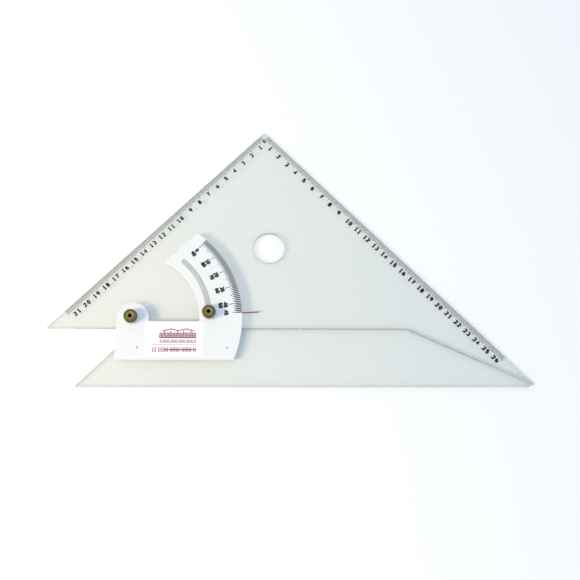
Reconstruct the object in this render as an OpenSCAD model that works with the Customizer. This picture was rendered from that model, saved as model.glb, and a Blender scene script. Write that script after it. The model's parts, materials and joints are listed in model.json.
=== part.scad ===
// Adjustable set square: a clear acrylic blade with two graduated edges at a right angle turns from 0 to
// 45 degrees on a clear base strip. A white protractor plate on the base reads the angle and holds the
// pivot, and a second screw in its arc slot clamps the blade. Both screws have knurled brass thumb nuts.

/* [Clear sheet] */
// Length of each graduated edge, as if its ends were sharp
edge_length = 303.8; // [290:0.2:320]
// Thickness of the blade and of the base strip
sheet_t = 3; // [2.4:0.1:4]
// Width of the base strip
base_w = 45.3; // [40:0.1:54]
// Gap between the closed blade and the base strip
sheet_gap = 0.3; // [0.2:0.05:0.6]
// Distance from the right angle's line to the bend in the lower edge
bend_x = 113.7; // [60:0.5:150]
// Height of the blade's right tip above the ruling edge
tip_rise = 1.5; // [1:0.05:6]
// Height of the flat that blunts the right tip
tip_flat = 1.3; // [0.4:0.05:3]
// Length of the right tip past the base strip's right end
tip_lead = 3; // [0:0.1:5]
// Gap between the fully opened blade and the slanted end of the base strip
open_gap = 0.9; // [0.4:0.1:2]
// Width of the flat that blunts the right-angled corner
corner_flat = 0.8; // [0.2:0.1:3]

/* [Graduated edges] */
// Width of the bevel along each graduated edge
bevel_w = 4.6; // [2:0.1:6]
// Depth that the bevel takes off at the edge
bevel_depth = 1; // [0.3:0.1:1.5]

/* [Finger hole] */
// Radius of the finger hole
finger_hole_r = 12.7; // [9:0.1:16]
// Offset of the finger hole to the right of the right angle's line
finger_hole_x = 4.2; // [-20:0.1:20]
// Height of the finger hole's centre above the ruling edge
finger_hole_y = 112.3; // [100:0.1:150]

/* [Pivot] */
// Distance from the right angle's line to the pivot, on its left
pivot_left = 103.3; // [95:0.1:112]
// Height of the pivot above the blade's lower edge
pivot_rise = 8.2; // [6:0.1:12]

/* [Protractor plate] */
// Thickness of the protractor plate
plate_t = 3; // [2:0.1:4]
// Thickness of the adhesive film between the plate and the base strip
film_t = 0.1; // [0.05:0.05:0.3]
// Radius of the plate's graduated rim
plate_r = 85.5; // [80:0.5:90]
// Inner radius of the plate's arc
plate_inner_r = 51.8; // [44:0.1:54]
// Radius of the ear around the pivot
ear_r = 12.4; // [9:0.1:16]
// Depth of the plate below the pivot
plate_drop = 33.4; // [32:0.1:40]
// Depth of the plate's upper edge below the pivot
shoulder_drop = 3.1; // [1:0.1:4]
// Distance of the arc's end past the line at 45 degrees through the arc's centre
arc_end = 16; // [13:0.5:24]
// Radius of the slot's centre line, about the pivot
slot_r = 60.6; // [57:0.5:68]
// Width of the slot
slot_w = 4.4; // [4.2:0.1:5]
// Angle of the clamp screw with the blade closed, in degrees
index_angle = 3.5; // [3:0.5:8]
// Swing of the blade, in degrees
swing = 45; // [30:1:45]
// Radius of the locating pins
pin_r = 0.75; // [0.5:0.05:1.2]

/* [Label] */
// Width of the label
label_w = 45.5; // [30:0.1:46]
// Height of the label
label_h = 27; // [15:0.1:28]
// Thickness of the label
label_t = 0.1; // [0.05:0.05:0.2]

/* [Screws and nuts] */
// Radius of the screws' shanks
screw_r = 1.95; // [1.6:0.05:2.05]
// Radial clearance of the shanks in the plate's ear and in the nuts
running_gap = 0.05; // [0.02:0.01:0.1]
// Radius of the countersunk heads
head_r = 3.75; // [3:0.05:4]
// Length of the screws
screw_l = 10.6; // [10:0.1:12]
// Outer radius of the thumb nuts
nut_r = 5.3; // [5:0.1:7]
// Height of the thumb nuts
nut_h = 3.9; // [3.5:0.1:9]
// Number of ridges around a thumb nut
nut_ridges = 36; // [24:1:48]
// Depth of the grooves between the ridges
ridge_depth = 0.35; // [0.1:0.05:0.5]
// Outer radius of the washers
washer_r = 5.8; // [4.5:0.1:6.4]
// Thickness of the washers
washer_t = 2.2; // [0.5:0.1:2.4]

/* [Hidden] */
$fn = 96;

// Heights of the layers above the underside
plate_z = sheet_t + film_t;
plate_top = plate_z + plate_t;
nut_z = plate_top + washer_t;

// The layout is drawn with x = 0 on the right angle's line and y = 0 on the ruling edge.
corner_y = edge_length / sqrt(2);
top_y = corner_y - corner_flat / 2;
blade_y = base_w + sheet_gap;
left_tip_x = blade_y - corner_y;
right_tip_x = corner_y - tip_rise - tip_flat;
bend_slope = atan((blade_y - tip_rise) / (right_tip_x - bend_x));
base_bend_x = bend_x - sheet_gap * tan(bend_slope / 2);
base_right_x = right_tip_x - tip_lead;
base_tip_y = tip_rise + tip_lead * tan(bend_slope) - sheet_gap / cos(bend_slope);
pivot = [-pivot_left, blade_y + pivot_rise];
clamp_at = pivot + slot_r * [cos(index_angle), sin(index_angle)];

// The base strip's left end is parallel to the blade's lower edge at full swing, and open_gap away from it.
end_from_pivot = pivot_rise + open_gap;
function base_end_x(y) =
    pivot.x + end_from_pivot * sin(swing) - (pivot.y - end_from_pivot * cos(swing) - y) / tan(swing);

// Centre of the plate's ear and of its arcs, from the pivot
rim_centre = [1.1, -0.8];

// Layout of what lies on the plate
pin_below_pivot = 24;
pin_inset = 5.6;
pin_span = 69.7;
label_left = 11.1;
label_below_edge = 0.6;
slot_play = (slot_w / 2 - screw_r) / slot_r * 180 / PI;

// Small features
driver_slot_w = 1;
driver_slot_depth = 0.8;
thread_end_chamfer = 0.4;
nut_chamfer = 0.7;
nut_foot_chamfer = 0.3;
groove_in = 3.7;
groove_out = 4.2;
groove_depth = 0.25;
past = 1;

// The origin is the middle of the set square's outline, on its underside.
centre = [(left_tip_x + right_tip_x) / 2, top_y / 2];

module placed(at = [0, 0], z = 0) {
    translate([at.x - centre.x, at.y - centre.y, z]) children();
}

// ---- Clear sheets ----

module blade_outline() {
    polygon([
        [left_tip_x, blade_y],
        [bend_x, blade_y],
        [right_tip_x, tip_rise],
        [right_tip_x, tip_rise + tip_flat],
        [corner_flat / 2, top_y],
        [-corner_flat / 2, top_y]
    ]);
}

// A wedge that bevels one graduated edge, running down from the right-angled corner along side * 45 degrees
module bevel_cut(side) {
    translate([0, corner_y, sheet_t])
        rotate([0, 0, 270 + side * 45])
            rotate([90, 0, 90])
                linear_extrude(edge_length + past)
                    polygon([
                        [side * past, past],
                        [side * past, -bevel_depth - past * bevel_depth / bevel_w],
                        [-side * bevel_w, 0],
                        [-side * bevel_w, past]
                    ]);
}

// The hole and the countersink that hold a screw in the blade
module screw_seat() {
    cylinder(h = head_r - screw_r, r1 = head_r, r2 = screw_r);
    cylinder(h = sheet_t + past, r = screw_r);
}

module blade() {
    color([0.87, 0.91, 0.89, 0.5])
        placed()
            difference() {
                linear_extrude(sheet_t) blade_outline();
                bevel_cut(1);
                bevel_cut(-1);
                translate([finger_hole_x, finger_hole_y, -past])
                    cylinder(h = sheet_t + 2 * past, r = finger_hole_r);
                translate(pivot) screw_seat();
                translate(clamp_at) screw_seat();
            }
}

module base_outline() {
    polygon([
        [base_end_x(0), 0],
        [base_right_x, 0],
        [base_right_x, base_tip_y],
        [base_bend_x, base_w],
        [base_end_x(base_w), base_w]
    ]);
}

module base_strip() {
    color([0.87, 0.91, 0.89, 0.5])
        placed()
            difference() {
                linear_extrude(sheet_t) base_outline();
                pin_holes();
            }
}

// ---- Protractor plate, drawn about the pivot ----

module plate_outline() {
    reach = 2 * plate_r;
    translate(rim_centre) circle(r = ear_r);
    translate([rim_centre.x - ear_r, -plate_drop])
        square([2 * ear_r, plate_drop + rim_centre.y]);
    intersection() {
        translate(rim_centre) circle(r = plate_r);
        translate([0, -plate_drop]) square([reach, plate_drop - shoulder_drop]);
    }
    translate(rim_centre)
        intersection() {
            difference() {
                circle(r = plate_r);
                circle(r = plate_inner_r);
            }
            translate([0, -plate_drop - rim_centre.y]) square([reach, reach]);
            rotate(45) translate([0, -reach]) square([reach, reach + arc_end]);
        }
}

// The slot that the clamp screw runs in
module clamp_slot() {
    rotate([0, 0, index_angle - slot_play])
        rotate_extrude(angle = swing + 2 * slot_play)
            translate([slot_r - slot_w / 2, -past])
                square([slot_w, plate_t + 2 * past]);
    for (a = [index_angle - slot_play, index_angle + swing + slot_play])
        rotate([0, 0, a])
            translate([slot_r, 0, -past])
                cylinder(h = plate_t + 2 * past, r = slot_w / 2);
}

module protractor_plate() {
    color("white")
        difference() {
            placed(pivot, plate_z)
                difference() {
                    linear_extrude(plate_t) plate_outline();
                    translate([0, 0, -past]) cylinder(h = plate_t + 2 * past, r = screw_r + running_gap);
                    clamp_slot();
                }
            placed() pin_holes();
        }
}

module bond_film() {
    color([0.95, 0.95, 0.9, 0.5])
        difference() {
            placed([0, 0], sheet_t)
                linear_extrude(film_t)
                    intersection() {
                        base_outline();
                        translate(pivot) plate_outline();
                    }
            placed() pin_holes();
        }
}

function pin_at(i) = pivot + [pin_inset + i * pin_span, -pin_below_pivot];

module pin_holes() {
    for (i = [0, 1])
        translate([pin_at(i).x, pin_at(i).y, -past])
            cylinder(h = plate_top + 2 * past, r = pin_r);
}

module plate_pin(i) {
    color("dimgray") placed(pin_at(i)) cylinder(h = plate_top, r = pin_r);
}

module label() {
    color("whitesmoke")
        placed(pivot + [label_left, -shoulder_drop - label_below_edge - label_h], plate_top)
            cube([label_w, label_h, label_t]);
}

// ---- Screws, washers and thumb nuts, drawn about their own axis ----

module screw(at) {
    color([0.2, 0.2, 0.2])
        placed(at)
            difference() {
                rotate_extrude()
                    polygon([
                        [0, 0],
                        [head_r, 0],
                        [screw_r, head_r - screw_r],
                        [screw_r, screw_l - thread_end_chamfer],
                        [screw_r - thread_end_chamfer, screw_l],
                        [0, screw_l]
                    ]);
                translate([-head_r - past, -driver_slot_w / 2, -past])
                    cube([2 * (head_r + past), driver_slot_w, driver_slot_depth + past]);
            }
}

module washer(at) {
    color("gainsboro")
        placed(at, plate_top)
            difference() {
                cylinder(h = washer_t, r = washer_r);
                translate([0, 0, -past]) cylinder(h = washer_t + 2 * past, r = screw_r + running_gap);
            }
}

module ridged_outline() {
    polygon([
        for (i = [0 : 2 * nut_ridges - 1])
            let (r = nut_r - (i % 2) * ridge_depth, a = 180 * i / nut_ridges)
            [r * cos(a), r * sin(a)]
    ]);
}

module thumb_nut(at) {
    color([0.55, 0.49, 0.3])
        placed(at, nut_z)
            difference() {
                intersection() {
                    linear_extrude(nut_h) ridged_outline();
                    rotate_extrude()
                        polygon([
                            [0, 0],
                            [nut_r - nut_foot_chamfer, 0],
                            [nut_r + past, nut_foot_chamfer + past],
                            [nut_r + past, nut_h - nut_chamfer - past],
                            [nut_r - nut_chamfer, nut_h],
                            [0, nut_h]
                        ]);
                }
                translate([0, 0, -past]) cylinder(h = nut_h + 2 * past, r = screw_r + running_gap);
                translate([0, 0, nut_h - groove_depth])
                    difference() {
                        cylinder(h = groove_depth + past, r = groove_out);
                        translate([0, 0, -past]) cylinder(h = groove_depth + 3 * past, r = groove_in);
                    }
            }
}

module pivot_screw() {
    screw(pivot);
}

module clamp_screw() {
    screw(clamp_at);
}

module pivot_washer() {
    washer(pivot);
}

module clamp_washer() {
    washer(clamp_at);
}

module pivot_nut() {
    thumb_nut(pivot);
}

module clamp_nut() {
    thumb_nut(clamp_at);
}

base_strip();
bond_film();
protractor_plate();
plate_pin(0);  // plate_pin_left
plate_pin(1);  // plate_pin_right
label();
blade();
pivot_screw();
clamp_screw();
pivot_washer();
clamp_washer();
pivot_nut();
clamp_nut();
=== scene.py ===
"""Looks of the adjustable set square: clear acrylic blade and base strip, white protractor plate, printed
scales, knurled brass thumb nuts on threaded screws. All lengths are in metres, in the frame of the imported
model."""

import json
import math

import bmesh
import bpy
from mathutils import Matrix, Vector


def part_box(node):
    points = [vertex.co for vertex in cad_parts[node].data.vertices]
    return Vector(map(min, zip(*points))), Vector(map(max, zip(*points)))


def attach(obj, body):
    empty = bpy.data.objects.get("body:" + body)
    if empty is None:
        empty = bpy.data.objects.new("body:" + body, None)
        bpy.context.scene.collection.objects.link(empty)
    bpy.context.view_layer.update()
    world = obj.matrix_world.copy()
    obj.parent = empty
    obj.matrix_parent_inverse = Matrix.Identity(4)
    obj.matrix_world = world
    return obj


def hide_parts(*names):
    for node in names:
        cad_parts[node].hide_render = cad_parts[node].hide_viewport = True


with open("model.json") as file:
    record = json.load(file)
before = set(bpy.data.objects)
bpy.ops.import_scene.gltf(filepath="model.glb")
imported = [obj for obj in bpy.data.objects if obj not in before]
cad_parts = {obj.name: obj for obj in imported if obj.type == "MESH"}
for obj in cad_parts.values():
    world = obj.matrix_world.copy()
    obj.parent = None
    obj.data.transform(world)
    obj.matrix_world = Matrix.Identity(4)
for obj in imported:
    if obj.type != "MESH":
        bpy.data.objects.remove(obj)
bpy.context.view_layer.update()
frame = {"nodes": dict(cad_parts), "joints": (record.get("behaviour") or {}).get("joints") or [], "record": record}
MM = 0.001

# ---- Places read from the frame ----

JOINTS = {j["name"]: j for j in frame["joints"]}
MOUNTS = {m["name"]: m for m in frame["record"]["mounts"]}
PIVOT = Vector(JOINTS["blade_turn"]["pos_m"])
CLAMP = Vector(JOINTS["clamp_nut_turn"]["pos_m"])
HOLE = Vector(MOUNTS["finger_hole"]["pos_m"])
HOLE_R = MOUNTS["finger_hole"]["dims"]["r_mm"] * MM
BLADE_LO, BLADE_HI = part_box("blade")
BASE_LO, BASE_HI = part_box("base_strip")
PLATE_LO, PLATE_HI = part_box("protractor_plate")
LABEL_LO, LABEL_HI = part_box("label")
SHEET_T = BLADE_HI.z
SWING = math.radians(JOINTS["blade_turn"]["range_deg"][1])
INDEX = math.atan2(CLAMP.y - PIVOT.y, CLAMP.x - PIVOT.x)
SLOT_R = math.hypot(CLAMP.x - PIVOT.x, CLAMP.y - PIVOT.y)

# ---- Sizes of the design that the frame's boxes do not give ----

SHEET_GAP = 0.3 * MM
BEND_X = 113.7 * MM
TIP_FLAT = 1.3 * MM
CORNER_FLAT = 0.8 * MM
BEVEL_W = 4.6 * MM
BEVEL_DEPTH = 1.0 * MM
PLATE_R = 85.5 * MM
PLATE_INNER_R = 51.8 * MM
EAR_R = 12.4 * MM
RIM_SHIFT = Vector((1.1 * MM, -0.8 * MM, 0))
SHOULDER = 3.1 * MM
ARC_END = 16 * MM
SLOT_W = 4.4 * MM
PITCH = 0.7 * MM
THREAD_MINOR = 1.62 * MM
THREAD_MAJOR = 1.95 * MM
FIT = 0.05 * MM
SHEET_ROUND = 0.12 * MM
PLATE_ROUND = 0.22 * MM
CREASE = 35

BLADE_Y = BASE_HI.y + SHEET_GAP
CORNER_Y = BLADE_HI.y + CORNER_FLAT / 2
CORNER = Vector((BLADE_LO.x + CORNER_Y - BLADE_Y, CORNER_Y, 0))
DIAG = math.sqrt(0.5)
LEFT_EDGE = (Vector((-DIAG, -DIAG, 0)), Vector((DIAG, -DIAG, 0)))
RIGHT_EDGE = (Vector((DIAG, -DIAG, 0)), Vector((-DIAG, -DIAG, 0)))


# ---- Small helpers ----


def polar(centre, r, a, z=0.0):
    return Vector((centre[0] + r * math.cos(a), centre[1] + r * math.sin(a), z))


def circle(centre, r, z, n=64):
    return [polar(centre, r, 2 * math.pi * i / n, z) for i in range(n)]


def arc(centre, r, a0, a1, n):
    return [polar(centre, r, a0 + (a1 - a0) * i / n) for i in range(n + 1)]


def at_height(points, z):
    return [Vector((p[0], p[1], z)) for p in points]


def rounded(corners, steps=6):
    """The closed outline through corners, a list of (point, radius), each corner cut back by its radius."""
    out = []
    n = len(corners)
    for i, (p, r) in enumerate(corners):
        if r <= 0:
            out.append(p)
            continue
        before = (corners[i - 1][0] - p).normalized()
        after = (corners[(i + 1) % n][0] - p).normalized()
        a, b = p + before * r, p + after * r
        for k in range(steps + 1):
            t = k / steps
            out.append(a * (1 - t) ** 2 + p * 2 * t * (1 - t) + b * t**2)
    return out


def offset(points, distance, slides=None):
    """The closed outline moved into its inside by distance. slides maps a point's place in the list to the
    direction that it moves along instead of straight in."""
    n = len(points)
    area = sum(p.x * q.y - q.x * p.y for p, q in zip(points, points[1:] + points[:1]))
    side = math.copysign(1, area)
    out = []
    for i, p in enumerate(points):
        before = (p - points[i - 1]).normalized()
        after = (points[(i + 1) % n] - p).normalized()
        first = Vector((-before.y, before.x, 0)) * side
        second = Vector((-after.y, after.x, 0)) * side
        if slides and i in slides:
            step = slides[i] / slides[i].dot(first)
        else:
            step = (first + second) / (1 + first.dot(second))
        out.append(p + step * distance)
    return out


def wall(outline, bottom, top, round_by, steps=3, hole=False, slides=None):
    """Rings of a sheet's edge from its bottom face to its top face, both edges rounded. top is a height, or a
    function that gives it at a point."""
    sign = -1 if hole else 1
    top_of = top if callable(top) else lambda p: top
    rings = []
    for k in range(steps + 1):
        a = math.pi / 2 * k / steps
        ring = offset(outline, sign * round_by * (1 - math.sin(a)), slides)
        rings.append(at_height(ring, bottom + round_by * (1 - math.cos(a))))
    for k in range(steps + 1):
        a = math.pi / 2 * k / steps
        ring = offset(outline, sign * round_by * (1 - math.cos(a)), slides)
        rings.append([Vector((p.x, p.y, top_of(p) - round_by * (1 - math.sin(a)))) for p in ring])
    return rings


def add_ring(bm, points):
    return [bm.verts.new(p) for p in points]


def bridge(bm, lower, upper):
    n = len(lower)
    for i in range(n):
        j = (i + 1) % n
        bm.faces.new((lower[i], lower[j], upper[j], upper[i]))


def add_walls(bm, walls):
    """Builds the walls, and gives their lists of rings of vertices."""
    made = [[add_ring(bm, ring) for ring in rings] for rings in walls]
    for rings in made:
        for lower, upper in zip(rings, rings[1:]):
            bridge(bm, lower, upper)
    return made


def fill(bm, loops):
    """A flat face with holes: the first loop is the outline and the others are holes. Gives the new faces."""
    edges = []
    for loop in loops:
        for i, v in enumerate(loop):
            w = loop[(i + 1) % len(loop)]
            edges.append(bm.edges.get((v, w)) or bm.edges.new((v, w)))
    made = bmesh.ops.triangle_fill(bm, use_beauty=True, use_dissolve=False, edges=edges)["geom"]
    return [f for f in made if isinstance(f, bmesh.types.BMFace)]


def slab(walls):
    """A closed flat sheet: the first wall is its outline and the others are its holes. Gives its flat faces
    too."""
    bm = bmesh.new()
    made = add_walls(bm, walls)
    flats = fill(bm, [rings[0] for rings in made]) + fill(bm, [rings[-1] for rings in made])
    return bm, flats


def smooth(bm, crease, flats=()):
    """Smooth shading, with sharp edges above the crease angle and all round every flat face."""
    bmesh.ops.recalc_face_normals(bm, faces=bm.faces)
    flats = set(flats)
    for f in bm.faces:
        f.smooth = True
    for e in bm.edges:
        if len(e.link_faces) == 2:
            limit = 2 if any(f in flats for f in e.link_faces) else crease
            e.smooth = e.calc_face_angle() < math.radians(limit)


def turned(profile, axis, segments=96, radius=None, bored=False):
    """A turned solid about an upright axis from a profile of (r, z). A bored profile runs up the outside and
    down the bore. radius(r, z, angle, row) may change the radius at a point."""
    bm = bmesh.new()
    rows = []
    for k, (r, z) in enumerate(profile):
        angles = [2 * math.pi * i / segments for i in range(segments)]
        rows.append([bm.verts.new(polar(axis, radius(r, z, a, k) if radius else r, a, z)) for a in angles])
    for lower, upper in zip(rows, rows[1:] + (rows[:1] if bored else [])):
        bridge(bm, lower, upper)
    if not bored:
        bm.faces.new(rows[0])
        bm.faces.new(rows[-1])
    return bm


def piece(name, bm, body, materials, replaces=()):
    """Turns bm into an object that rides on body."""
    bmesh.ops.recalc_face_normals(bm, faces=bm.faces)
    mesh = bpy.data.meshes.new(name)
    bm.to_mesh(mesh)
    bm.free()
    for m in materials:
        mesh.materials.append(m)
    obj = bpy.data.objects.new(name, mesh)
    bpy.context.scene.collection.objects.link(obj)
    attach(obj, body)
    if replaces:
        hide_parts(*replaces)
    return obj


# ---- Node-based materials ----

ACRYLIC_IOR = 1.49
LATHE_PITCH = 0.16 * MM


def material(name):
    mat = bpy.data.materials.new(name)
    mat.use_nodes = True
    tree = mat.node_tree
    tree.nodes.clear()
    out = tree.nodes.new("ShaderNodeOutputMaterial")
    shader = tree.nodes.new("ShaderNodeBsdfPrincipled")
    tree.links.new(shader.outputs[0], out.inputs["Surface"])
    return mat, tree, shader, out


def add(tree, kind, **values):
    """A node with its values set: a name that starts with a capital is a socket, with underscores for its
    spaces, and any other is a property."""
    node = tree.nodes.new(kind)
    for key, value in values.items():
        if key[0].isupper():
            node.inputs[key.replace("_", " ")].default_value = value
        else:
            setattr(node, key, value)
    return node


def object_coords(tree, scale=(1, 1, 1), offset=(0, 0, 0)):
    """Object coordinates moved so that offset is the origin, and then scaled."""
    coord = add(tree, "ShaderNodeTexCoord")
    moved = add(tree, "ShaderNodeVectorMath", operation="SUBTRACT")
    moved.inputs[1].default_value = offset
    scaled = add(tree, "ShaderNodeVectorMath", operation="MULTIPLY")
    scaled.inputs[1].default_value = scale
    tree.links.new(coord.outputs["Object"], moved.inputs[0])
    tree.links.new(moved.outputs[0], scaled.inputs[0])
    return scaled.outputs[0]


def noise(tree, vector, scale, detail=4.0, roughness=0.5):
    node = add(tree, "ShaderNodeTexNoise", Scale=scale, Detail=detail, Roughness=roughness)
    tree.links.new(vector, node.inputs["Vector"])
    return node.outputs["Fac"]


def ramp(tree, value, low, high, to_low, to_high):
    node = add(tree, "ShaderNodeMapRange", From_Min=low, From_Max=high, To_Min=to_low, To_Max=to_high)
    tree.links.new(value, node.inputs["Value"])
    return node.outputs["Result"]


def mix_colour(tree, share, first, second):
    """The colour first, turning into the colour second as the socket share goes from 0 to 1."""
    node = add(tree, "ShaderNodeMix", data_type="RGBA", blend_type="MIX")
    tree.links.new(share, node.inputs[0])
    node.inputs[6].default_value = (*first, 1)
    node.inputs[7].default_value = (*second, 1)
    return node.outputs[2]


def bump(tree, shader, height, strength, distance):
    node = add(tree, "ShaderNodeBump", Strength=strength, Distance=distance)
    tree.links.new(height, node.inputs["Height"])
    tree.links.new(node.outputs[0], shader.inputs["Normal"])


def maths(tree, operation, a, b=None):
    node = add(tree, "ShaderNodeMath", operation=operation)
    for socket, value in zip(node.inputs, (a, b)):
        if isinstance(value, bpy.types.NodeSocket):
            tree.links.new(value, socket)
        elif value is not None:
            socket.default_value = value
    return node.outputs[0]


def pass_light(tree, shader, out, share, tint=(1, 1, 1)):
    """Lets a share of the light on its way to other surfaces go straight through each face, times tint."""
    lets_through = add(tree, "ShaderNodeBsdfTransparent", Color=(*tint, 1))
    path = add(tree, "ShaderNodeLightPath")
    unseen = maths(tree, "MAXIMUM", path.outputs["Is Shadow Ray"], path.outputs["Is Diffuse Ray"])
    both = add(tree, "ShaderNodeMixShader")
    tree.links.new(maths(tree, "MULTIPLY", unseen, share), both.inputs[0])
    tree.links.new(shader.outputs[0], both.inputs[1])
    tree.links.new(lets_through.outputs[0], both.inputs[2])
    tree.links.new(both.outputs[0], out.inputs["Surface"])


def clear_acrylic(name, warm_lit_tint, cool_shaded_tint, smudge, shadow_tint, clear=1.0):
    """Clear sheet: the tint turns slowly along X from a warmer colour to a darker, cooler one, a painted falloff
    of the key light from the left, with random clouds, faint smudges and scuffs. Where clear is less than 1, the
    rest of the surface is opaque, like a sawn face."""
    mat, tree, shader, out = material(name)
    place = object_coords(tree)
    axes = add(tree, "ShaderNodeSeparateXYZ")
    tree.links.new(place, axes.inputs[0])
    # Painted light: the tint darkens and turns cooler from left to right, in place of the key light falling off
    # away from the left.
    painted_falloff = ramp(tree, axes.outputs["X"], BLADE_LO.x, BLADE_HI.x, 0, 1)
    cloud = noise(tree, place, 14, 2)
    painted_falloff = maths(tree, "ADD", painted_falloff, ramp(tree, cloud, 0.3, 0.7, -0.08, 0.08))
    tree.links.new(mix_colour(tree, painted_falloff, warm_lit_tint, cool_shaded_tint), shader.inputs["Base Color"])
    stretched = object_coords(tree, (900, 120, 900))
    scuffs = ramp(tree, noise(tree, stretched, 1, 3, 0.6), 0.62, 0.72, 0, 0.06)
    smudges = ramp(tree, noise(tree, place, 60, 5, 0.6), 0.45, 0.75, 0, smudge)
    tree.links.new(maths(tree, "ADD", scuffs, smudges), shader.inputs["Roughness"])
    bump(tree, shader, noise(tree, place, 25, 1), 0.02, 0.0004)
    shader.inputs["Transmission Weight"].default_value = clear
    shader.inputs["IOR"].default_value = ACRYLIC_IOR
    pass_light(tree, shader, out, 1.0, shadow_tint)
    return mat


def white_acrylic(name, light, shade, through):
    """Opal white sheet: a soft mottle, fine scuffs in the gloss and a little light under the surface. The
    share of light given as through reaches what lies below."""
    mat, tree, shader, out = material(name)
    place = object_coords(tree)
    mottle = ramp(tree, noise(tree, place, 90, 4), 0.35, 0.65, 0, 1)
    tree.links.new(mix_colour(tree, mottle, light, shade), shader.inputs["Base Color"])
    scuffs = noise(tree, object_coords(tree, (1500, 260, 1500)), 1, 3, 0.6)
    tree.links.new(ramp(tree, scuffs, 0.4, 0.75, 0.22, 0.42), shader.inputs["Roughness"])
    bump(tree, shader, noise(tree, place, 700, 3), 0.02, 0.00005)
    shader.inputs["Subsurface Weight"].default_value = 0.15
    shader.inputs["Subsurface Radius"].default_value = (1.2 * MM, 1.3 * MM, 1.4 * MM)
    shader.inputs["IOR"].default_value = ACRYLIC_IOR
    pass_light(tree, shader, out, through)
    return mat


def brass(name, bright, dark, axis):
    """Turned brass with a brown patina in patches and fine lathe rings about an upright axis."""
    mat, tree, shader, _ = material(name)
    place = object_coords(tree, offset=axis)
    patina = noise(tree, place, 900, 6, 0.65)
    spots = noise(tree, place, 3200, 2)
    amount = maths(tree, "MULTIPLY", ramp(tree, patina, 0.35, 0.7, 0, 1), ramp(tree, spots, 0.3, 0.6, 0.5, 1))
    tree.links.new(mix_colour(tree, amount, bright, dark), shader.inputs["Base Color"])
    tree.links.new(ramp(tree, patina, 0.3, 0.7, 0.42, 0.6), shader.inputs["Roughness"])
    axes = add(tree, "ShaderNodeSeparateXYZ")
    tree.links.new(place, axes.inputs[0])
    squares = [maths(tree, "POWER", axes.outputs[k], 2) for k in range(2)]
    out_from_axis = maths(tree, "SQRT", maths(tree, "ADD", *squares))
    rings = maths(tree, "SINE", maths(tree, "MULTIPLY", out_from_axis, 2 * math.pi / LATHE_PITCH))
    height = maths(tree, "ADD", maths(tree, "MULTIPLY", rings, 0.5), spots)
    bump(tree, shader, height, 0.35, 0.00002)
    shader.inputs["Metallic"].default_value = 1
    return mat


def moulded(name, colour, other, rough, scale, metal=0.0, subsurface=0.0, through=0.0):
    """A plain moulded, drawn or coated surface with a fine mottle in its colour, gloss and height."""
    mat, tree, shader, out = material(name)
    place = object_coords(tree)
    grain = noise(tree, place, scale, 5, 0.6)
    mottle = ramp(tree, grain, 0.35, 0.65, 0, 1)
    tree.links.new(mix_colour(tree, mottle, colour, other), shader.inputs["Base Color"])
    tree.links.new(ramp(tree, grain, 0.3, 0.7, *rough), shader.inputs["Roughness"])
    bump(tree, shader, grain, 0.12, 0.00003)
    shader.inputs["Metallic"].default_value = metal
    if subsurface:
        shader.inputs["Subsurface Weight"].default_value = subsurface
        shader.inputs["Subsurface Radius"].default_value = (MM, MM, MM)
    if through:
        pass_light(tree, shader, out, through)
    return mat


PRINT_GRAIN = 2500
PRINT_ROUGH = (0.35, 0.6)
INK_THROUGH = 0.75

ACRYLIC = clear_acrylic("clear acrylic", (0.908, 0.904, 0.86), (0.8, 0.839, 0.845), 0.05, (0.96, 0.965, 0.96))
# Sawn edges: a darker grey, part opaque, so that the sheets' edges show as dark lines; this grey is painted shade.
SAWN_EDGE_PAINTED_SHADE = clear_acrylic(
    "clear acrylic, sawn edge, painted shade", (0.66, 0.69, 0.69), (0.6, 0.65, 0.69), 0.35, (0.68, 0.7, 0.69), 0.55
)
WHITE = white_acrylic("white acrylic", (0.865, 0.865, 0.868), (0.85, 0.853, 0.857), 0.63)
FILM = moulded("adhesive film", (0.93, 0.93, 0.9), (0.86, 0.87, 0.84), (0.3, 0.6), 420, subsurface=0.1)
LABEL = moulded("label film", (0.99, 0.985, 0.985), (0.97, 0.968, 0.968), (0.35, 0.5), 1400)
BLACK_INK = moulded(
    "black ink", (0.012, 0.012, 0.013), (0.03, 0.03, 0.032), PRINT_ROUGH, PRINT_GRAIN, through=INK_THROUGH
)
DEGREE_INK = moulded(
    "black ink, greenish",
    (0.012, 0.036, 0.036),
    (0.02, 0.05, 0.05),
    PRINT_ROUGH,
    PRINT_GRAIN,
    through=INK_THROUGH,
)
RED_INK = moulded("red ink", (0.33, 0.02, 0.055), (0.25, 0.015, 0.04), PRINT_ROUGH, PRINT_GRAIN)
LABEL_DARK = moulded("label print, dark", (0.42, 0.025, 0.1), (0.34, 0.02, 0.08), (0.4, 0.6), PRINT_GRAIN)
LABEL_LIGHT = moulded("label print, light", (0.5, 0.17, 0.25), (0.42, 0.13, 0.2), (0.4, 0.6), PRINT_GRAIN)
STEEL = moulded("pin steel", (0.66, 0.66, 0.67), (0.5, 0.5, 0.51), (0.3, 0.5), 2200, metal=1.0)
NYLON = moulded("washer nylon", (0.78, 0.78, 0.78), (0.7, 0.7, 0.71), (0.35, 0.5), 900, subsurface=0.2)
# Nearly black screws, so that the nuts' bores read as black holes: painted shade.
SCREW_BLACK_PAINTED_SHADE = moulded(
    "steel, black as painted bore shade", (0.006, 0.006, 0.006), (0.002, 0.002, 0.002), (0.5, 0.75), 1800, metal=1.0
)
# Darker brass for the knurl, the groove's walls and the bore of each nut: painted shade in the knurl's hollows,
# the groove and the hole.
NUT_PAINTED_SHADE = moulded(
    "brass, darkened as painted shade", (0.21, 0.175, 0.06), (0.1, 0.08, 0.025), (0.35, 0.55), 1500, metal=1.0
)
NUT_BRIGHT = (0.4, 0.33, 0.12)
NUT_DARK = (0.11, 0.082, 0.024)


# ---- Clear sheets ----


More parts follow.
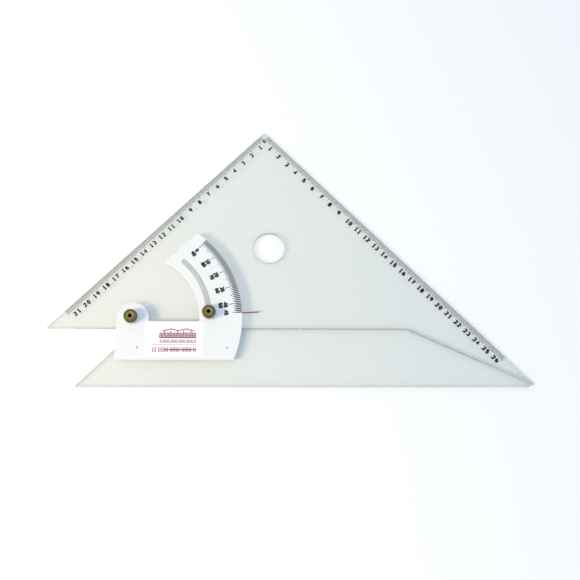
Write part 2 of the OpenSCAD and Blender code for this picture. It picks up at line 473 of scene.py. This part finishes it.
def from_edge(edge, along, inset):
    """The point along a graduated edge from the right-angled corner, inset into the blade, at height 0."""
    run, inward = edge
    p = CORNER + run * along + inward * inset
    return Vector((p.x, p.y, 0))


def edge_inset(p):
    """How far p lies inside the nearer graduated edge."""
    q = Vector((p[0], p[1], 0)) - CORNER
    return min(q.dot(LEFT_EDGE[1]), q.dot(RIGHT_EDGE[1]))


def blade_top(p):
    """Height of the blade's upper face at p: flat, and falling across the bevels."""
    return SHEET_T - BEVEL_DEPTH * max(0.0, 1 - edge_inset(p) / BEVEL_W)


def meet(p, d, q, e):
    """Where the line through p along d meets the line through q along e."""
    t = ((q.x - p.x) * e.y - (q.y - p.y) * e.x) / (d.x * e.y - d.y * e.x)
    return p + d * t


def screw_seat(axis):
    """Rings of the blade's countersunk screw hole, a hair wider than the screw."""
    head_lo, head_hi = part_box("pivot_screw")
    head_r = (head_hi.x - head_lo.x) / 2
    return [
        circle(axis, head_r + FIT, 0),
        circle(axis, THREAD_MAJOR + FIT, head_r - THREAD_MAJOR),
        circle(axis, THREAD_MAJOR + FIT, SHEET_T),
    ]


def seam_line():
    """The two ends of the blade's slanted lower edge: its bend and the bottom of its right tip."""
    return Vector((CORNER.x + BEND_X, BLADE_Y, 0)), Vector((BLADE_HI.x, BLADE_LO.y, 0))


def make_blade():
    bend, tip_low = seam_line()
    tip_high = tip_low + Vector((0, TIP_FLAT, 0))
    left_tip = Vector((BLADE_LO.x, BLADE_Y, 0))
    flat = Vector((CORNER_FLAT / 2, 0, 0))
    top = Vector((CORNER.x, BLADE_HI.y, 0))
    shelf_left = meet(from_edge(LEFT_EDGE, 0, BEVEL_W), LEFT_EDGE[0], left_tip, Vector((1, 0, 0)))
    shelf_right = meet(from_edge(RIGHT_EDGE, 0, BEVEL_W), RIGHT_EDGE[0], bend, tip_low - bend)
    outline = [left_tip, shelf_left, bend, shelf_right, tip_low, tip_high, top + flat, top, top - flat]
    slides = {1: -LEFT_EDGE[0], 3: -RIGHT_EDGE[0]}
    bm = bmesh.new()
    made = add_walls(
        bm,
        [
            wall(outline, 0, blade_top, SHEET_ROUND, slides=slides),
            wall(circle(HOLE, HOLE_R, 0, 160), 0, SHEET_T, 2 * SHEET_ROUND, hole=True),
            screw_seat(PIVOT),
            screw_seat(CLAMP),
        ],
    )
    sides = list(bm.faces)
    shelf_corner = bm.verts.new(at_height([from_edge(LEFT_EDGE, BEVEL_W, BEVEL_W)], SHEET_T)[0])
    flats = fill(bm, [rings[0] for rings in made])
    # The upper side is a level shelf with the holes, and one bevel along each graduated edge.
    tip, s_left, bend_v, s_right, low, high, c_right, c_mid, c_left = made[0][-1]
    flats += fill(bm, [[s_left, bend_v, s_right, shelf_corner]] + [rings[-1] for rings in made[1:]])
    flats.append(bm.faces.new((tip, s_left, shelf_corner, c_mid, c_left)))
    flats.append(bm.faces.new((s_right, low, high, c_right, c_mid, shelf_corner)))
    for f in sides:
        f.material_index = 1
    smooth(bm, CREASE, flats)
    piece("clear_blade", bm, "turning_blade", [ACRYLIC, SAWN_EDGE_PAINTED_SHADE], ["blade"])


def base_outline():
    """The base strip's corners. Its top right edge runs along the blade's slanted edge, a gap below it."""
    bend, tip_low = seam_line()
    fall = (tip_low - bend).normalized()
    below = Vector((fall.y, -fall.x, 0)) * SHEET_GAP
    level = Vector((1, 0, 0))
    base_bend = meet(bend + below, fall, Vector((0, BASE_HI.y, 0)), level)
    tip_top = meet(bend + below, fall, Vector((BASE_HI.x, 0, 0)), Vector((0, 1, 0)))
    left_foot = Vector((BASE_LO.x, BASE_LO.y, 0))
    left_top = left_foot + Vector((1 / math.tan(SWING), 1, 0)) * (BASE_HI.y - BASE_LO.y)
    return [left_foot, Vector((BASE_HI.x, BASE_LO.y, 0)), tip_top, base_bend, left_top]


def pin_axes():
    """Each locating pin's node, centre and radius."""
    for node in ("plate_pin_left", "plate_pin_right"):
        lo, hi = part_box(node)
        yield node, (lo + hi) / 2, (hi.x - lo.x) / 2


def pin_hole(centre, r, bottom, top):
    return [circle(centre, r + FIT, bottom, 32), circle(centre, r + FIT, top, 32)]


def make_base():
    walls = [wall(base_outline(), 0, SHEET_T, SHEET_ROUND)]
    walls += [pin_hole(centre, r, 0, SHEET_T) for _, centre, r in pin_axes()]
    bm, flats = slab(walls)
    for f in set(bm.faces) - set(flats):
        f.material_index = 1
    smooth(bm, CREASE, flats)
    piece("clear_base_strip", bm, "base", [ACRYLIC, SAWN_EDGE_PAINTED_SHADE], ["base_strip"])


# ---- Protractor plate ----


def plate_outline():
    """Ear, straight foot, graduated rim and inner curve. The curves stop short of their corners to leave room
    for the rounding."""
    middle = PIVOT + RIM_SHIFT
    drop = middle.y - PLATE_LO.y
    shoulder = SHOULDER + RIM_SHIFT.y
    end_angle = SWING + math.asin(ARC_END / PLATE_R)
    inner_end = SWING + math.asin(ARC_END / PLATE_INNER_R)
    foot_angle = -math.asin(drop / PLATE_R)
    inner_foot = -math.asin(shoulder / PLATE_INNER_R)
    rim_stop = math.radians(2)
    inner_stop = math.radians(3)
    foot_left = middle + Vector((-EAR_R, -drop, 0))
    ear_right = middle + Vector((EAR_R, -shoulder, 0))
    corners = [(foot_left, 2 * MM), (polar(middle, PLATE_R, foot_angle), MM)]
    corners += [(q, 0) for q in arc(middle, PLATE_R, foot_angle + rim_stop, end_angle - rim_stop, 80)]
    corners.append((polar(middle, PLATE_R, end_angle), 1.5 * MM))
    corners.append((polar(middle, PLATE_INNER_R, inner_end), 1.5 * MM))
    inner = arc(middle, PLATE_INNER_R, inner_end - inner_stop, inner_foot + inner_stop, 50)
    corners += [(q, 0) for q in inner]
    corners.append((polar(middle, PLATE_INNER_R, inner_foot), 1.2 * MM))
    corners.append((ear_right, 1.2 * MM))
    corners += [(q, 0) for q in arc(middle, EAR_R, 0, math.pi, 48)]
    return rounded(corners)


def slot_outline():
    """The curved slot, which ends a little past the clamp screw's place at both limits of the swing."""
    past = (SLOT_W / 2 - THREAD_MAJOR) / SLOT_R
    low, high = INDEX - past, INDEX + SWING + past
    half = SLOT_W / 2
    outer = arc(PIVOT, SLOT_R + half, low, high, 60)
    far_end = arc(polar(PIVOT, SLOT_R, high), half, high, high + math.pi, 20)
    inner = arc(PIVOT, SLOT_R - half, high, low, 60)
    near_end = arc(polar(PIVOT, SLOT_R, low), half, low + math.pi, low + 2 * math.pi, 20)
    return outer + far_end[1:-1] + inner + near_end[1:-1]


def make_plate():
    z0, z1 = PLATE_LO.z, PLATE_HI.z
    bore = circle(PIVOT, THREAD_MAJOR + FIT, 0)
    walls = [wall(plate_outline(), z0, z1, PLATE_ROUND), wall(slot_outline(), z0, z1, PLATE_ROUND, hole=True)]
    walls += [[at_height(bore, z0), at_height(bore, z1)]]
    walls += [pin_hole(centre, r, z0, z1) for _, centre, r in pin_axes()]
    bm, flats = slab(walls)
    smooth(bm, CREASE, flats)
    piece("white_protractor_plate", bm, "base", [WHITE], ["protractor_plate"])


def make_pins():
    top = PLATE_HI.z
    cut = 0.15 * MM
    for k, (node, centre, r) in enumerate(pin_axes()):
        profile = [(r - cut, 0), (r, cut), (r, top - 2 * cut), (r - cut, top - 0.3 * cut), (r * 0.4, top)]
        bm = turned(profile, centre, 32)
        smooth(bm, 30)
        piece(f"steel_pin_{k + 1}", bm, "base", [STEEL], [node])


# ---- Screws, washers and nuts ----

DRIVER_SLOT_W = 1 * MM
DRIVER_SLOT_DEPTH = 0.8 * MM
KNURL_RIDGES = 36
KNURL_DEPTH = 0.35 * MM
GROOVE_DEPTH = 0.45 * MM
GROOVE_SLOPE = 0.14 * MM
# Inside this radius the bore takes the darker brass, as painted shade.
PAINTED_SHADE_BORE_R = 1.7 * MM
# The bore's lip: radii, and depths below the nut's top.
BORE_LIP = ((1.75 * MM, 0.04 * MM), (1.55 * MM, 0.12 * MM), (1.4 * MM, 0.25 * MM))
BORE_MOUTH_R = 2.3 * MM


def thread_radius(minor, major, z, angle):
    """Radius of a right-hand thread at a height and an angle, with flattened crests and roots."""
    turn = (z / PITCH - angle / (2 * math.pi)) % 1
    ridge = 1 - abs(2 * turn - 1)
    return minor + (major - minor) * min(1.0, max(0.0, (ridge - 0.1) / 0.8))


def thread_rows(z0, z1, r):
    """Rows of a threaded length, nine to a turn."""
    n = max(2, round((z1 - z0) / PITCH * 9))
    return [(r, z0 + (z1 - z0) * i / n) for i in range(n + 1)]


def make_screw(node, name, axis):
    """A countersunk screw with a thread above the plate and a driver slot in its head, which faces down."""
    lo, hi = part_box(node)
    head_r = (hi.x - lo.x) / 2
    cone = head_r - THREAD_MAJOR
    end = 0.4 * MM
    shank_from = PLATE_HI.z
    profile = [(head_r - 0.1 * MM, 0), (head_r, 0.08 * MM), (THREAD_MAJOR, cone), (THREAD_MAJOR, shank_from)]
    threaded = thread_rows(shank_from + 0.1 * MM, hi.z - end, THREAD_MAJOR)
    first, last = len(profile), len(profile) + len(threaded)
    profile += threaded + [(THREAD_MINOR, hi.z - 0.1 * MM), (THREAD_MINOR * 0.7, hi.z)]

    def radius(r, z, a, k):
        return thread_radius(THREAD_MINOR, THREAD_MAJOR, z, a) if first <= k < last else r

    bm = turned(profile, axis, 48, radius)
    smooth(bm, 40)
    obj = piece(name, bm, "turning_blade", [SCREW_BLACK_PAINTED_SHADE], [node])
    cutter = bmesh.new()
    bmesh.ops.create_cube(cutter, size=1)
    bmesh.ops.scale(cutter, vec=(4 * head_r, DRIVER_SLOT_W, 2 * DRIVER_SLOT_DEPTH), verts=cutter.verts)
    bmesh.ops.translate(cutter, vec=(axis.x, axis.y, 0), verts=cutter.verts)
    mesh = bpy.data.meshes.new(name + "_slot")
    cutter.to_mesh(mesh)
    cutter.free()
    tool = bpy.data.objects.new(name + "_slot", mesh)
    bpy.context.scene.collection.objects.link(tool)
    cut = obj.modifiers.new("driver slot", "BOOLEAN")
    cut.operation = "DIFFERENCE"
    cut.object = tool
    apply_modifiers(obj)
    bpy.data.objects.remove(tool)
    obj.data.set_sharp_from_angle(angle=math.radians(40))


def apply_modifiers(obj):
    depsgraph = bpy.context.evaluated_depsgraph_get()
    depsgraph.update()
    mesh = bpy.data.meshes.new_from_object(obj.evaluated_get(depsgraph))
    obj.modifiers.clear()
    obj.data = mesh


def make_washer(node, name, body, axis):
    lo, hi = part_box(node)
    r, bore, t, z = (hi.x - lo.x) / 2, THREAD_MAJOR + FIT, hi.z - lo.z, lo.z
    c = 0.12 * MM
    profile = [(r - c, z), (r, z + c), (r, z + t - c), (r - c, z + t), (bore + c, z + t), (bore, z + t - c)]
    profile += [(bore, z + c), (bore + c, z)]
    bm = turned(profile, axis, 96, bored=True)
    smooth(bm, 50)
    piece(name, bm, body, [NYLON], [node])


def make_nut(node, name, body, axis):
    """A knurled round nut: its top has a rounded knurled rim, a turned groove and a threaded bore. The knurl,
    the groove's walls and the bore take a darker brass, painted shade in the knurl's hollows, the groove and the
    hole."""
    lo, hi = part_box(node)
    r, z0, z1 = (hi.x - lo.x) / 2, lo.z, hi.z
    rim, foot = 0.6 * MM, 0.3 * MM
    knurl_lo, knurl_hi = z0 + foot, z1 - rim
    profile = [(r - foot - KNURL_DEPTH, z0), (r - KNURL_DEPTH * 0.5, z0 + 0.4 * foot)]
    profile += [(r, knurl_lo + (knurl_hi - knurl_lo) * i / 10) for i in range(11)]
    profile += [(r - rim * 0.35, z1 - rim * 0.5), (r - rim * 0.75, z1 - rim * 0.12)]
    knurl_last = len(profile) - 2
    groove_out, groove_in, groove_z = r - 0.9 * MM, r - 1.55 * MM, z1 - GROOVE_DEPTH
    profile += [(r - rim, z1), (groove_out, z1), (groove_out - GROOVE_SLOPE, groove_z)]
    profile += [(groove_in + GROOVE_SLOPE, groove_z), (groove_in, z1 - 0.02 * MM)]
    profile += [(lip_r, z1 - depth) for lip_r, depth in BORE_LIP]
    bore = thread_rows(z0 + 0.35 * MM, z1 - 0.3 * MM, THREAD_MAJOR)[::-1]
    first, last = len(profile), len(profile) + len(bore)
    profile += bore + [(THREAD_MAJOR, z0 + 0.25 * MM), (BORE_MOUTH_R, z0)]

    def radius(rr, z, a, k):
        if first <= k < last:
            return thread_radius(THREAD_MINOR + FIT, THREAD_MAJOR + FIT, z, a)
        if 1 <= k <= knurl_last:
            fade = 0.5 if k in (1, knurl_last) else 1
            return rr - KNURL_DEPTH * fade * (1 - abs(math.sin(KNURL_RIDGES * a / 2)) ** 0.7)
        return rr

    bm = turned(profile, axis, KNURL_RIDGES * 8, radius, bored=True)
    for f in bm.faces:
        middle = f.calc_center_median()
        out = math.hypot(middle.x - axis.x, middle.y - axis.y)
        shaded_groove_wall = groove_in < out < groove_out and abs(f.normal.z) < 0.9
        # Painted shade: the knurl, the groove's walls and the bore get the darker brass.
        if out > r - rim or out < PAINTED_SHADE_BORE_R or shaded_groove_wall:
            f.material_index = 1
    smooth(bm, CREASE)
    face = brass(f"{name} face", NUT_BRIGHT, NUT_DARK, axis)
    piece(name, bm, body, [face, NUT_PAINTED_SHADE], [node])


# ---- Print ----

INK = 0.03 * MM
INK_LIFT = 0.002 * MM
CM = 10
FIRST_MARK = 5
MM_TICK = 4.2 * MM
CM_TICK = 5.4 * MM
TICK_W = 0.3 * MM
TICK_START = 0.03 * MM
TICK_FOOT = 0.35 * MM
TICK_FOOT_W = 0.66 * MM
EDGE_NUMERAL_H = 3.3 * MM
EDGE_ADVANCE = 3.5 * MM
ORIGIN_PLACE = 5.8 * MM
ORIGIN_H = 2.9 * MM
ANGLE_NUMERAL_H = 2.9 * MM
ANGLE_ADVANCE = 2.1 * MM
ANGLE_ROW_R = 74.1 * MM
COMPLEMENT_ROW_R = 70.1 * MM
ANGLE_WIDE_FROM = 82 * MM
INDEX_END_R = 100 * MM
INDEX_W = 0.85 * MM
MARK_45 = INDEX - math.radians(0.55)


def ellipse(cx, cy, rx, ry, a0, a1, n=14):
    """Points along part of an ellipse, angles in degrees."""
    angles = [math.radians(a0) + math.radians(a1 - a0) / n * i for i in range(n + 1)]
    return [(cx + rx * math.cos(a), cy + ry * math.sin(a)) for a in angles]


# Each digit is a list of pen strokes in a box 0.64 wide and 1 high.
DIGITS = {
    "0": [ellipse(0.32, 0.5, 0.24, 0.42, 0, 360, 24)],
    "1": [[(0.12, 0.76), (0.35, 0.92), (0.35, 0.08)], [(0.12, 0.08), (0.58, 0.08)]],
    "2": [ellipse(0.31, 0.68, 0.23, 0.24, 165, -35) + [(0.08, 0.08), (0.58, 0.08)]],
    "3": [ellipse(0.29, 0.71, 0.21, 0.21, 150, -90), ellipse(0.29, 0.29, 0.26, 0.21, 90, -150)],
    "4": [[(0.44, 0.02), (0.44, 0.92), (0.06, 0.32), (0.62, 0.32)]],
    "5": [[(0.55, 0.92), (0.15, 0.92), (0.12, 0.53)] + ellipse(0.29, 0.33, 0.26, 0.25, 125, -150)],
    "6": [ellipse(0.55, 0.36, 0.47, 0.56, 112, 180) + ellipse(0.32, 0.32, 0.24, 0.24, 180, 540, 20)],
    "7": [[(0.07, 0.92), (0.57, 0.92), (0.25, 0.03)]],
    "8": [ellipse(0.31, 0.72, 0.2, 0.2, -90, 270, 20), ellipse(0.31, 0.3, 0.25, 0.22, 90, 450, 20)],
}
DIGITS["9"] = [[(0.64 - x, 1 - y) for x, y in stroke] for stroke in DIGITS["6"]]
DIGIT_W = 0.64


def stroke_sides(points, width):
    """The left and right side of a pen stroke, mitred at its bends."""
    pts = [Vector(p) for p in points]
    left, right = [], []
    for i, p in enumerate(pts):
        before = (p - pts[i - 1]).normalized() if i else None
        after = (pts[i + 1] - p).normalized() if i + 1 < len(pts) else None
        along = ((before or after) + (after or before)).normalized()
        normal = Vector((-along.y, along.x))
        turn = along.dot(after or before)
        reach = width / 2 / max(turn, 0.55)
        left.append(p + normal * reach)
        right.append(p - normal * reach)
    return left, right


def add_prism(bm, corners, z_of):
    """A thin raised patch over a convex outline; z_of gives the surface's height at a point."""
    low = [bm.verts.new((p[0], p[1], z_of(p) + INK_LIFT)) for p in corners]
    high = [bm.verts.new((p[0], p[1], z_of(p) + INK)) for p in corners]
    bridge(bm, low, high)
    bm.faces.new(low[::-1])
    bm.faces.new(high)


def add_stroke(bm, points, width, place, z_of):
    """A pen stroke as one thin ribbon: place maps a point of the pen's plane to the row frame."""
    rows = []
    for a, b in zip(*stroke_sides(points, width)):
        p, q = place(a), place(b)
        corners = ((p, INK_LIFT), (q, INK_LIFT), (q, INK), (p, INK))
        rows.append([bm.verts.new((v[0], v[1], z_of(v) + up)) for v, up in corners])
    for a, b in zip(rows, rows[1:]):
        bridge(bm, a, b)
    bm.faces.new(rows[0][::-1])
    bm.faces.new(rows[-1])


def add_number(bm, text, centre, right, up, height, advance, z_of, weight):
    """Digits written about centre; right and up are unit vectors of the writing, and weight is the width of
    the pen in digit heights."""
    start = -advance * (len(text) - 1) / 2
    for k, digit in enumerate(text):
        x0 = start + advance * k - DIGIT_W * height / 2

        def place(p, x0=x0):
            return centre + right * (x0 + p[0] * height) + up * ((p[1] - 0.5) * height)

        for points in DIGITS[digit]:
            add_stroke(bm, points, weight, place, z_of)


def add_bar(bm, centre_from, centre_to, width, z_of):
    run = (centre_to - centre_from).normalized()
    half = Vector((-run.y, run.x, 0)) * width / 2
    add_prism(bm, [centre_from - half, centre_to - half, centre_to + half, centre_from + half], z_of)


def make_edge_scale(name, edge, length_mm, first, inset, reading, weight):
    """Millimetre graduations and centimetre numerals along a graduated edge. reading is +1 where the numerals
    read away from the corner and -1 where they read towards it; first is the gap between tick and numeral.
    Each tick is split where the bevel meets the flat, and has a wider foot at the edge."""
    bm = bmesh.new()
    for i in range(FIRST_MARK, length_mm + 1):
        end = MM_TICK if i % CM else CM_TICK
        stops = [TICK_START, min(end, BEVEL_W)] + ([end] if end > BEVEL_W else [])
        for a, b in zip(stops, stops[1:]):
            add_bar(bm, from_edge(edge, i * MM, a), from_edge(edge, i * MM, b), TICK_W, blade_top)
        foot_end = from_edge(edge, i * MM, TICK_START + TICK_FOOT)
        add_bar(bm, from_edge(edge, i * MM, TICK_START), foot_end, TICK_FOOT_W, blade_top)
    run, inward = edge
    right, up = run * reading, -inward
    for n in range(1, (length_mm - 1) // CM + 1):
        text = str(n)
        centre = from_edge(edge, n * CM * MM + first + EDGE_ADVANCE * len(text) / 2, inset)
        add_number(bm, text, centre, right, up, EDGE_NUMERAL_H, EDGE_ADVANCE, blade_top, weight)
    if reading < 0:
        origin = from_edge(edge, ORIGIN_PLACE, ORIGIN_PLACE)
        add_number(bm, "0", origin, right, up, ORIGIN_H, ORIGIN_H, blade_top, 0.34)
    piece(name, bm, "turning_blade", [BLACK_INK])


def make_index_line():
    bm = bmesh.new()
    add_bar(bm, polar(PIVOT, PLATE_R, MARK_45), polar(PIVOT, INDEX_END_R, MARK_45), INDEX_W, blade_top)
    piece("index_line_print", bm, "turning_blade", [RED_INK])


def plate_surface(_):
    return PLATE_HI.z


def make_angle_scale():
    """Degree graduations on the rim, read both ways: one row of numerals for the angle, one for its
    complement. Each tick is wider from ANGLE_WIDE_FROM to the rim."""
    bm = bmesh.new()
    for i in range(46):
        a = MARK_45 + math.radians(45 - i)
        inner = 76.5 * MM if i % 10 == 0 else 79 * MM if i % 5 == 0 else 80.3 * MM
        rim = PLATE_R + RIM_SHIFT.dot(polar((0, 0), 1, a)) - 0.18 * MM
        add_bar(bm, polar(PIVOT, inner, a), polar(PIVOT, ANGLE_WIDE_FROM, a), 0.5 * MM, plate_surface)
        add_bar(bm, polar(PIVOT, ANGLE_WIDE_FROM, a), polar(PIVOT, rim, a), MM, plate_surface)
    piece("angle_scale_print", bm, "base", [DEGREE_INK])
    bm = bmesh.new()
    numerals = [(ANGLE_ROW_R, n, n) for n in (0, 10, 20, 30, 40, 45)]
    numerals += [(COMPLEMENT_ROW_R, n, 90 - n) for n in (90, 80, 70, 60, 50)]
    for r, number, degrees in numerals:
        a = MARK_45 + math.radians(45 - degrees)
        up = polar((0, 0), 1, a)
        right = Vector((up.y, -up.x, 0))
        centre = polar(PIVOT, r, a)
        add_number(bm, str(number), centre, right, up, ANGLE_NUMERAL_H, ANGLE_ADVANCE, plate_surface, 0.41)
    piece("angle_numerals_print", bm, "base", [BLACK_INK])


# ---- Label ----


def make_label():
    lo, hi = LABEL_LO, LABEL_HI
    corners = ((lo.x, lo.y), (hi.x, lo.y), (hi.x, hi.y), (lo.x, hi.y))
    outline = rounded([(Vector((x, y, 0)), 0.6 * MM) for x, y in corners])
    bm, flats = slab([[at_height(outline, lo.z), at_height(outline, hi.z)]])
    smooth(bm, CREASE, flats)
    piece("paper_label", bm, "base", [LABEL], ["label"])


def make_label_print():
    """Generic marks that spell nothing: a zigzag, rules, and rows of upright strokes in place of words.
    Places on the label are shares of its width and height."""
    width, height = LABEL_HI.x - LABEL_LO.x, LABEL_HI.y - LABEL_LO.y
    dark, light = bmesh.new(), bmesh.new()

    def top(_):
        return LABEL_HI.z

    def p(u, v):
        return Vector((LABEL_LO.x + u * width, LABEL_LO.y + v * height, 0))

    def row(bm, u0, u1, v0, heights, count, share):
        """Upright strokes side by side; heights repeats along the row and share is the inked part of it."""
        pitch = (u1 - u0) / count
        for k in range(count):
            a, v1 = u0 + pitch * k, v0 + heights[k % len(heights)]
            if v1 > v0:
                b = a + pitch * share
                add_prism(bm, [p(a, v0), p(b, v0), p(b, v1), p(a, v1)], top)

    def rule(bm, u0, u1, v, thickness):
        add_bar(bm, p(u0, v), p(u1, v), thickness, top)

    row(dark, 0.25, 0.88, 0.52, (0.16, 0.16, 0.15, 0.22, 0.16, 0.15, 0.16, 0.22, 0.15), 25, 0.56)
    rule(dark, 0.25, 0.875, 0.545, 0.7 * MM)
    rule(dark, 0.25, 0.875, 0.61, 0.5 * MM)
    rule(dark, 0.26, 0.87, 0.67, 0.5 * MM)
    row(light, 0.26, 0.88, 0.38, (0.1, 0.1, 0.03, 0.1, 0.1, 0.1, 0.08), 33, 0.62)
    rule(light, 0.13, 0.88, 0.33, 0.3 * MM)
    row(dark, 0.14, 0.885, 0.115, (0.15, 0.12, 0.15, 0, 0.15, 0.13, 0.15, 0.15), 30, 0.46)
    rule(light, 0.33, 0.88, 0.185, 0.9 * MM)
    zigzag = [p(0.3, 0.73), p(0.44, 0.79), p(0.57, 0.74), p(0.7, 0.79), p(0.84, 0.73)]
    for a, b in zip(zigzag, zigzag[1:]):
        add_bar(light, a, b, 0.95 * MM, top)
    piece("label_print_dark", dark, "base", [LABEL_DARK])
    piece("label_print_light", light, "base", [LABEL_LIGHT])


# ---- The object ----

make_blade()
make_base()
make_plate()
make_pins()
make_label()
make_label_print()
make_screw("pivot_screw", "steel_pivot_screw", PIVOT)
make_screw("clamp_screw", "steel_clamp_screw", CLAMP)
make_washer("pivot_washer", "nylon_pivot_washer", "pivot_washer_ring", PIVOT)
make_washer("clamp_washer", "nylon_clamp_washer", "clamp_washer_ring", CLAMP)
make_nut("pivot_nut", "knurled_pivot_nut", "pivot_thumb_nut", PIVOT)
make_nut("clamp_nut", "knurled_clamp_nut", "clamp_thumb_nut", CLAMP)
make_edge_scale("left_edge_scale_print", LEFT_EDGE, 220, 0.45 * MM, 7.5 * MM, -1, 0.35)
make_edge_scale("right_edge_scale_print", RIGHT_EDGE, 270, 2.3 * MM, 7 * MM, 1, 0.42)
make_index_line()
make_angle_scale()
film = frame["nodes"]["bond_film"]
film.data.materials.clear()
film.data.materials.append(FILM)


# ---- Floor, light and camera ----


def make_floor():
    bpy.ops.mesh.primitive_plane_add(size=6, location=(0, 0, -0.05 * MM))
    floor = bpy.context.object
    floor.name = "floor"
    mat, tree, shader, _ = material("pale floor")
    grain = noise(tree, object_coords(tree), 400, 4)
    colour = mix_colour(tree, grain, (0.95, 0.94, 0.925), (0.98, 0.97, 0.955))
    tree.links.new(colour, shader.inputs["Base Color"])
    shader.inputs["Roughness"].default_value = 0.9
    shader.inputs["Specular IOR Level"].default_value = 0.2
    floor.data.materials.append(mat)


def make_area_light(name, place, aim, size, power, colour):
    light = bpy.data.lights.new(name, "AREA")
    light.shape = "DISK"
    light.size = size
    light.energy = power
    light.color = colour
    obj = bpy.data.objects.new(name, light)
    obj.location = place
    obj.rotation_euler = (Vector(aim) - Vector(place)).to_track_quat("-Z", "Y").to_euler()
    bpy.context.scene.collection.objects.link(obj)


def make_camera():
    camera = bpy.data.cameras.new("camera")
    camera.sensor_width = 36
    camera.lens = 44.97
    camera.clip_start = 0.01
    obj = bpy.data.objects.new("camera", camera)
    obj.location = (-0.02385, -0.1775, 0.563)
    obj.rotation_euler = [math.radians(a) for a in (14.75, -2.325, -0.285)]
    bpy.context.scene.collection.objects.link(obj)
    bpy.context.scene.camera = obj


def make_world(colour, strength):
    world = bpy.data.worlds.new("soft studio")
    world.use_nodes = True
    background = world.node_tree.nodes["Background"]
    background.inputs["Color"].default_value = (*colour, 1)
    background.inputs["Strength"].default_value = strength
    bpy.context.scene.world = world


make_floor()
make_world((0.65, 0.76, 0.915), 1.0)
make_area_light("key from the left", (-1.37, -0.45, 0.96), (0, 0, 0), 0.5, 21.5, (1.0, 0.8, 0.45))
make_camera()
bpy.context.scene.view_settings.view_transform = "Standard"
